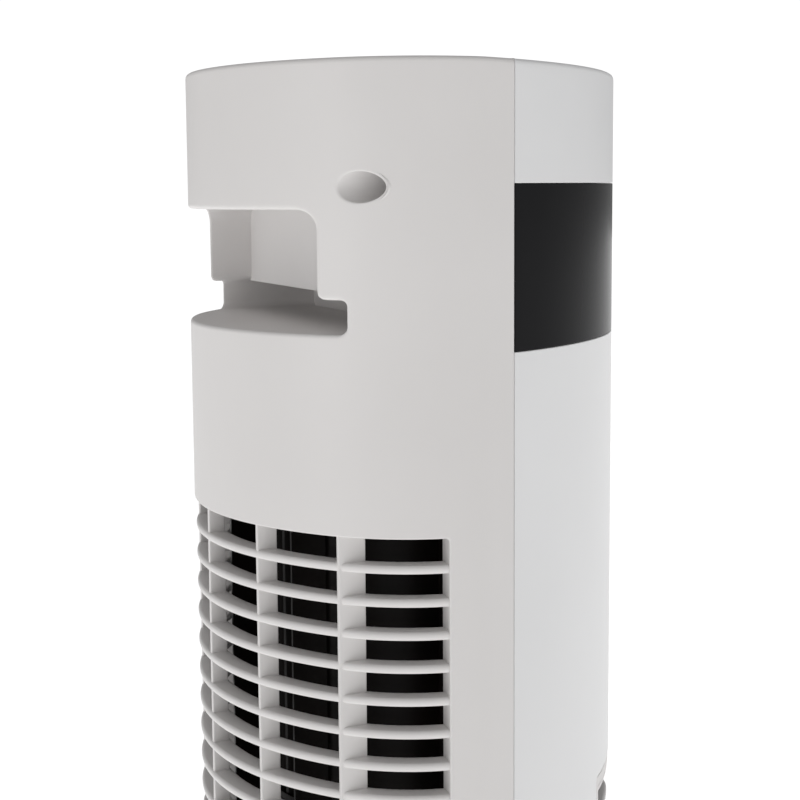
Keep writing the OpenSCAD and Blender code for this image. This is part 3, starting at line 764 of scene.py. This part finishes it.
def wallPlace(depth):
    # on from the end of a round, straight into the shell
    def place(c):
        return c[2] + (c[2] - c[1]).normalized() * depth
    return place


# intake grille: slats and ribs, bent like the skin

grille = {
    "pitch": 11.6 * mm,
    "slatRise": -0.7 * mm,
    "slatHigh": 3.1 * mm,
    "slatDeep": 8.0 * mm,
    "outletDeep": 4.0 * mm,
    "slatSink": 0.5 * mm,
    "slatRound": 1.2 * mm,
    "slatStart": 8.3 * mm,       # behind the widest line
    "ribWide": 2.3 * mm,
    "ribDeep": (10, 7.4, 6.2, 7.4, 10),
    "ribSink": 1.2 * mm,
    "ribRound": 0.5 * mm,
    "ribX": (-70, -38, 0, 38, 70),
    "ribOver": 1 * mm,
}


def barsRound(p0, p1, heights, high, sink, deep, rounding):
    # the same level bar at every height, bent round the column
    bar = bmesh.new()
    boxAt(bar, (p0, sink, 0), (p1, sink + deep, high), rounding, 3)
    cutStrips(bar)
    mesh = bpy.data.meshes.new("bar")
    bar.to_mesh(mesh)
    bar.free()
    bars = bmesh.new()
    for z in heights:
        start = len(bars.verts)
        bars.from_mesh(mesh)
        bars.verts.ensure_lookup_table()
        bmesh.ops.translate(bars, verts=bars.verts[start:], vec=(0, 0, z))
    bpy.data.meshes.remove(mesh)
    bendRound(bars)
    bmesh.ops.recalc_face_normals(bars, faces=bars.faces[:])
    return bars


def addIntakeGrille():
    g = grille
    end = walkTo(lambda x, y: y <= column["widestY"] + g["slatStart"])
    top = columnTop - rear["intakeDrop"]
    count = int((top - rear["intakeLow"]) / g["pitch"])
    heights = [top - (i + 1) * g["pitch"] + g["slatRise"] for i in range(count)]
    bars = barsRound(-end, end, heights, g["slatHigh"], g["slatSink"], g["slatDeep"], g["slatRound"])
    for x, deep in zip(g["ribX"], g["ribDeep"]):
        cx = x * mm
        outer = bent(walkToX(cx), g["ribSink"], 0).y
        boxAt(bars, (cx - g["ribWide"] / 2, outer - deep * mm, rear["intakeLow"] - g["ribOver"]),
              (cx + g["ribWide"] / 2, outer, top + g["ribOver"]), g["ribRound"], 2)
    makePiece(bars, "intakeGrille", "column", housingWhite, ["rear_housing"])


addRearHousing()
addIntakeGrille()

# front housing, window and outlet

front = {
    "edgeRound": 0.4 * mm,
    "windowGap": 0.12 * mm,
    "windowRound": 0.35 * mm,
    "windowWall": 1 * mm,
    "outletRound": 0.8 * mm,
    "outletCorner": 2 * mm,
    "outletWall": 2 * mm,
    "outletGap": 0.3 * mm,
    "frameHigh": 4 * mm,
    "postWide": 3.4 * mm,
    "postBack": 5 * mm,
    "postSink": 0.2 * mm,
    "middleSink": 1.6 * mm,
    "frameDeep": 4 * mm,
    "frameRound": 0.5 * mm,
    "slatIn": 1 * mm,
    "skin": 1.2 * mm,
}


def noseP(x):
    # arc length of the front point at x
    p = walkTo(lambda px, py: py < column["widestY"] and px <= abs(x))
    return p if x >= 0 else 2 * halfRound - p


def addFrontShell(name, z0, z1, lowRound, topRound, holes=()):
    f = front
    border = borderRim(seamP, farSeamP, z0, z1, f["edgeRound"], lowRound, topRound)
    bm, loops = bendSheet([border, *holes])
    turnIn(bm, *loops[0], column["seamLip"], column["seamWall"])
    for edges, corners in loops[1:]:
        pushEdges(bm, edges, corners, wallPlace(f["outletWall"]))
    faceOut(bm)
    makePiece(bm, name, "column", frontGrey, ["front_housing"], thickness=f["skin"])


def addWindow():
    f = front
    gap = f["windowGap"]
    border = borderRim(seamP, farSeamP, windowFoot + gap, windowTop - gap,
                       f["windowRound"], f["windowRound"], f["windowRound"])
    bm, loops = bendSheet([border])
    pushEdges(bm, *loops[0], wallPlace(f["windowWall"]))
    faceOut(bm)
    makePiece(bm, "displayWindow", "column", windowBlack, ["display_window"],
              thickness=f["windowWall"])


def outletRim(grow):
    lo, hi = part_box("outlet_grille")
    gap = front["outletGap"]
    w = (hi[0] - lo[0]) / 2 + gap
    z0, z1 = lo[2] - gap, hi[2] + gap
    corners = [(-w, z0), (w, z0), (w, z1), (-w, z1)]
    r = front["outletCorner"]
    outer, sharp = (roundedPath(corners, [r] * 4, g) for g in (grow, 0))
    return Rim([Vector((noseP(v.x), v.y)) for v in outer], [Vector((noseP(v.x), v.y)) for v in sharp],
               [grow] * len(sharp))


def addOutletGrille():
    g, f = grille, front
    lo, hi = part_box("outlet_grille")
    p0, p1 = noseP(hi[0]), noseP(lo[0])
    rows = int((hi[2] - lo[2] - 2 * f["frameHigh"]) / g["pitch"])
    heights = [lo[2] + f["frameHigh"] + (i + 1) * g["pitch"] - g["slatHigh"] for i in range(rows)]
    bars = barsRound(p0 + f["slatIn"], p1 - f["slatIn"], heights, g["slatHigh"], g["slatSink"],
                     g["outletDeep"], g["slatRound"])
    ends = barsRound(p0, p1, (lo[2], hi[2] - f["frameHigh"]), f["frameHigh"], f["postSink"],
                     f["frameDeep"], f["frameRound"])
    posts = bmesh.new()
    for a, b, sink in ((p0, p0 + f["postWide"], f["postSink"]), (p1 - f["postWide"], p1, f["postSink"]),
                       (halfRound - g["ribWide"] / 2, halfRound + g["ribWide"] / 2, f["middleSink"])):
        boxAt(posts, (a, sink, lo[2]), (b, f["postBack"], hi[2]), f["frameRound"], 2)
    bendRound(posts)
    for extra in (ends, posts):
        mesh = bpy.data.meshes.new("extra")
        bmesh.ops.recalc_face_normals(extra, faces=extra.faces[:])
        extra.to_mesh(mesh)
        extra.free()
        bars.from_mesh(mesh)
        bpy.data.meshes.remove(mesh)
    makePiece(bars, "outletGrille", "column", housingWhite, ["outlet_grille"])


addFrontShell("frontUpper", windowTop, columnTop, front["edgeRound"], rear["topRound"])
addFrontShell("frontLower", columnFoot, windowFoot, rear["footRound"], front["edgeRound"],
              [outletRim(front["outletRound"])])
addWindow()
addOutletGrille()

# top panel, buttons and their marks

buttons = {
    "names": ("power_button", "speed_button", "mode_button", "timer_button", "swing_button"),
    "edge": 0.7 * mm,
    "dish": 0.35 * mm,
    "markHigh": 0.06 * mm,
    "markSink": 0.02 * mm,
    "collarWide": 1 * mm,
    "collarHigh": 1 * mm,
    "collarDrop": 5.4 * mm,
    "stem": 2.5 * mm,
}


def addButton(node):
    b = buttons
    lo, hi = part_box(node)
    cx, cy = (lo[0] + hi[0]) / 2, (lo[1] + hi[1]) / 2
    collar = (hi[0] - lo[0]) / 2
    r = collar - b["collarWide"]
    top, foot = hi[2], lo[2]
    under = top - b["collarDrop"]
    over = under + b["collarHigh"]
    profile = [(0, foot), (b["stem"], foot), (b["stem"], under), (collar, under), (collar, over),
               (r, over), (r, top - b["edge"])]
    for k in range(1, 5):
        t = math.pi / 2 * k / 4
        profile.append((r - b["edge"] * (1 - math.cos(t)), top - b["edge"] * (1 - math.sin(t))))
    for k in range(1, 7):
        t = k / 6
        ease = t * t * (3 - 2 * t)
        profile.append(((r - b["edge"]) * (1 - t), top - b["dish"] * ease))
    bm = lathe(profile, 64, (cx, cy, 0))
    makePiece(bm, node.replace("_button", "Key"), node, frontGrey, [node], sharp=50)
    return cx, cy, top - b["dish"]


def addMark(node, cx, cy, z):
    # a generic printed sign: ring and bar, steps, dots, dial or sweep
    bm = bmesh.new()
    z0, z1 = z - buttons["markSink"], z + buttons["markHigh"]

    def bar(x0, y0, x1, y1):
        boxAt(bm, (cx + x0 * mm, cy + y0 * mm, z0), (cx + x1 * mm, cy + y1 * mm, z1))

    def ring(outer, inner):
        profile = [(inner * mm, z0), (outer * mm, z0), (outer * mm, z1), (inner * mm, z1), (inner * mm, z0)]
        mesh = bpy.data.meshes.new("ring")
        part = lathe(profile, 32, (cx, cy, 0))
        part.to_mesh(mesh)
        part.free()
        bm.from_mesh(mesh)
        bpy.data.meshes.remove(mesh)

    if node.startswith("power"):
        ring(1.9, 1.5)
        bar(-0.2, 1.0, 0.2, 2.6)
    elif node.startswith("speed"):
        for i in range(3):
            bar(-1.7 + i * 1.3, -1.4, -0.9 + i * 1.3, -0.2 + i * 0.9)
    elif node.startswith("mode"):
        for x, y in ((-1.2, -1.2), (0.5, -1.2), (-1.2, 0.5), (0.5, 0.5)):
            bar(x, y, x + 0.8, y + 0.8)
    elif node.startswith("timer"):
        ring(2.0, 1.65)
        bar(-0.15, 0, 0.15, 1.3)
        bar(0, -0.15, 1.0, 0.15)
    else:
        bar(-2.0, -0.18, 2.0, 0.18)
        bar(-2.1, -1.1, -1.8, 1.1)
        bar(1.8, -1.1, 2.1, 1.1)
    makePiece(bm, node.replace("_button", "Mark"), node, innerBlack)


for name in buttons["names"]:
    addMark(name, *addButton(name))

# base

base = {
    "edgeRound": 4 * mm,
    "edgeHigh": 14 * mm,
    "footRound": 0.6 * mm,
    "crownWide": 10 * mm,        # beyond the slip washer
    "crownRise": 3 * mm,
    "crownRound": 2 * mm,
    "hole": 25 * mm,
    "wall": 2.8 * mm,
}


def addBaseCover():
    lo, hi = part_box("base_cover")
    b = base
    r, foot, top = hi[0], lo[2], hi[2]
    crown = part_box("slip_washer")[1][0] + b["crownWide"]
    edge = foot + b["edgeHigh"]
    crownFoot = top - b["crownRise"]
    outer = [(r - b["footRound"], foot), (r, foot + b["footRound"]), (r, edge - b["edgeRound"])]
    for k in range(1, 7):
        t = math.pi / 2 * k / 6
        outer.append((r - b["edgeRound"] * (1 - math.cos(t)), edge - b["edgeRound"] * (1 - math.sin(t))))
    start, end = Vector(outer[-1]), Vector((crown, crownFoot))
    bend1 = start.lerp(end, 0.35) + Vector((0, 1.5 * mm))
    bend2 = start.lerp(end, 0.75) - Vector((0, 1.2 * mm))
    for k in range(1, 25):
        t = k / 24
        point = (start * (1 - t) ** 3 + bend1 * 3 * t * (1 - t) ** 2
                 + bend2 * 3 * t * t * (1 - t) + end * t ** 3)
        outer.append(tuple(point))
    for k in range(1, 6):
        t = math.pi / 2 * k / 5
        outer.append((crown - b["crownRound"] * math.sin(t), top - b["crownRise"] * math.cos(t)))
    outer += [(b["hole"], top), (b["hole"], top - b["wall"])]
    inner = [(crown - 3 * mm, top - b["wall"]), (r - 8 * mm, edge - b["wall"]),
             (r - b["wall"], edge - b["wall"] - 3 * mm), (r - b["wall"], foot), (r - b["footRound"], foot)]
    makePiece(lathe(outer + inner, 144), "baseCover", "base", housingWhite, ["base_cover"],
              sharp=50)


addBaseCover()
